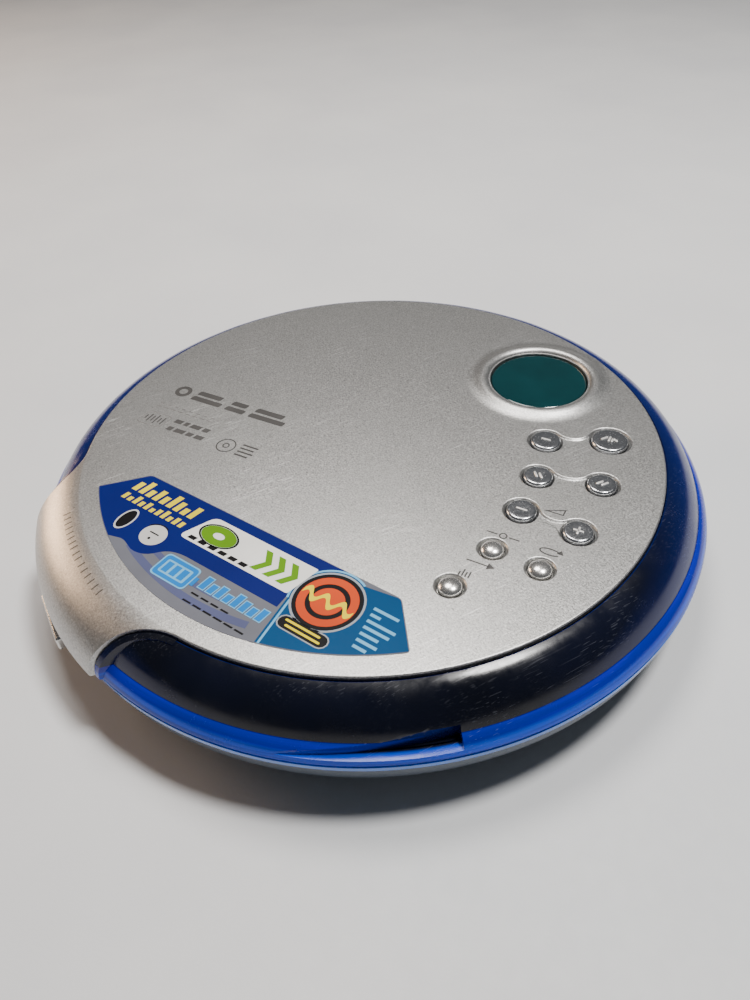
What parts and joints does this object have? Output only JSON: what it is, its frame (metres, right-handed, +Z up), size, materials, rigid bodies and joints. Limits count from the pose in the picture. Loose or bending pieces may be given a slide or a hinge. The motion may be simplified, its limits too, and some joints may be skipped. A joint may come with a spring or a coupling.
{
  "type": "portable cd player",
  "caption": "Round flat portable disc player with a hinged lid, a blue see-through rim, a display window and press keys, and a battery bay underneath.",
  "frame": {"origin": "centre of the underside, on the plane the feet stand on", "axes": "+Z up through the disc spindle, -Y towards the opening tab, +Y towards the lid hinge"},
  "size_m": [0.138, 0.1399, 0.0252],
  "materials": {
    "silver_paint": "satin metallic silver lacquer with a fine sparkle, over moulded plastic",
    "clear_blue": "deep blue see-through moulding, polished, with fine scratches",
    "light_blue": "pale blue see-through band, satin",
    "grey_case": "fine satin grain",
    "window_green": "polished, dark green tint",
    "lcd_grey": "flat grey-green display film",
    "key_silver": "bright vacuum-metallised silver",
    "dark_plastic": "fine moulded grain",
    "black_rubber": "matt",
    "steel": "plain bright steel",
    "nickel": "nickel plated",
    "board_green": "solder mask over laminate",
    "cell_jacket": "printed metallic jacket",
    "lens_glass": "coated optical lens"
  },
  "bodies": {
    "base": {"base_trim_ring": "light_blue", "battery_cell_1": "cell_jacket", "battery_cell_2": "cell_jacket", "battery_contact_1": "nickel", "battery_contact_2": "nickel", "battery_spring_1": "nickel", "battery_spring_2": "nickel", "bottom_case": "grey_case", "case_screw_1": "steel", "case_screw_2": "steel", "case_screw_3": "steel", "damper_1": "black_rubber", "damper_2": "black_rubber", "damper_3": "black_rubber", "damper_4": "black_rubber", "dc_inlet": "dark_plastic", "disc_deck": "dark_plastic", "foot_1": "black_rubber", "foot_2": "black_rubber", "foot_3": "black_rubber", "foot_4": "black_rubber", "guide_rod": "steel", "headphone_jack": "dark_plastic", "hinge_pin_left": "steel", "hinge_pin_right": "steel", "latch_spring": "steel", "lid_switch": "dark_plastic", "main_board": "board_green", "mech_chassis": "steel", "sled_motor": "steel", "spindle_motor": "steel"},
    "lid": {"lid_cover": "silver_paint", "lid_ring": "clear_blue", "display_lens": "window_green", "lcd_panel": "lcd_grey", "lid_board": "board_green", "lid_inner_cover": "dark_plastic", "hinge_knuckle": "clear_blue", "lid_hook": "dark_plastic"},
    "battery_door": {"battery_door": "grey_case"},
    "open_slider": {"open_slider": "key_silver"},
    "hold_switch": {"hold_switch": "grey_case"},
    "turntable": {"turntable": "dark_plastic", "spindle_shaft": "steel"},
    "pickup": {"pickup_sled": "dark_plastic", "objective_lens": "lens_glass"},
    "lead_screw": {"lead_screw": "steel"},
    "key_stop": {"key_stop": "key_silver"},
    "key_play": {"key_play": "key_silver"},
    "key_skip_back": {"key_skip_back": "key_silver"},
    "key_skip_forward": {"key_skip_forward": "key_silver"},
    "key_volume_minus": {"key_volume_minus": "key_silver"},
    "key_volume_plus": {"key_volume_plus": "key_silver"},
    "key_memory_recall": {"key_memory_recall": "key_silver"},
    "key_mode": {"key_mode": "key_silver"},
    "key_eq": {"key_eq": "key_silver"}
  },
  "joints": [
    {"name": "lid_hinge", "type": "hinge", "parent": "base", "child": "lid", "pos_m": [0, 0.0668, 0.0119], "axis": [-1, 0, 0], "range_deg": [0, 75]},
    {"name": "battery_door_hinge", "type": "hinge", "parent": "base", "child": "battery_door", "pos_m": [0, -0.0156, 0.0018], "axis": [1, 0, 0], "range_deg": [0, 95]},
    {"name": "open_slide", "type": "slide", "parent": "base", "child": "open_slider", "axis": [1, 0, 0], "range_m": [0, 0.003], "stiffness_N_per_m": 250, "deforming": ["latch_spring"]},
    {"name": "hold_slide", "type": "slide", "parent": "base", "child": "hold_switch", "axis": [0, 1, 0], "range_m": [0, 0.0025]},
    {"name": "spindle", "type": "hinge", "parent": "base", "child": "turntable", "pos_m": [0, 0, 0.0186], "axis": [0, 0, 1], "continuous": true},
    {"name": "pickup_slide", "type": "slide", "parent": "base", "child": "pickup", "axis": [0, 1, 0], "range_m": [0, 0.0335]},
    {"name": "lead_screw_turn", "type": "hinge", "parent": "base", "child": "lead_screw", "pos_m": [-0.017, 0.03, 0.0076], "axis": [0, -1, 0], "range_deg": [0, 4030]},
    {"name": "press_stop", "type": "slide", "parent": "lid", "child": "key_stop", "axis": [0, 0, -1], "range_m": [0, 0.0004], "stiffness_N_per_m": 1500},
    {"name": "press_play", "type": "slide", "parent": "lid", "child": "key_play", "axis": [0, 0, -1], "range_m": [0, 0.0004], "stiffness_N_per_m": 1500},
    {"name": "press_skip_back", "type": "slide", "parent": "lid", "child": "key_skip_back", "axis": [0, 0, -1], "range_m": [0, 0.0004], "stiffness_N_per_m": 1500},
    {"name": "press_skip_forward", "type": "slide", "parent": "lid", "child": "key_skip_forward", "axis": [0, 0, -1], "range_m": [0, 0.0004], "stiffness_N_per_m": 1500},
    {"name": "press_volume_minus", "type": "slide", "parent": "lid", "child": "key_volume_minus", "axis": [0, 0, -1], "range_m": [0, 0.0004], "stiffness_N_per_m": 1500},
    {"name": "press_volume_plus", "type": "slide", "parent": "lid", "child": "key_volume_plus", "axis": [0, 0, -1], "range_m": [0, 0.0004], "stiffness_N_per_m": 1500},
    {"name": "press_memory_recall", "type": "slide", "parent": "lid", "child": "key_memory_recall", "axis": [0, 0, -1], "range_m": [0, 0.0004], "stiffness_N_per_m": 1500},
    {"name": "press_mode", "type": "slide", "parent": "lid", "child": "key_mode", "axis": [0, 0, -1], "range_m": [0, 0.0004], "stiffness_N_per_m": 1500},
    {"name": "press_eq", "type": "slide", "parent": "lid", "child": "key_eq", "axis": [0, 0, -1], "range_m": [0, 0.0004], "stiffness_N_per_m": 1500}
  ],
  "couplings": [
    {"joint": "lead_screw_turn", "follows": "pickup_slide", "rad_per_m": 2094.4}
  ]
}
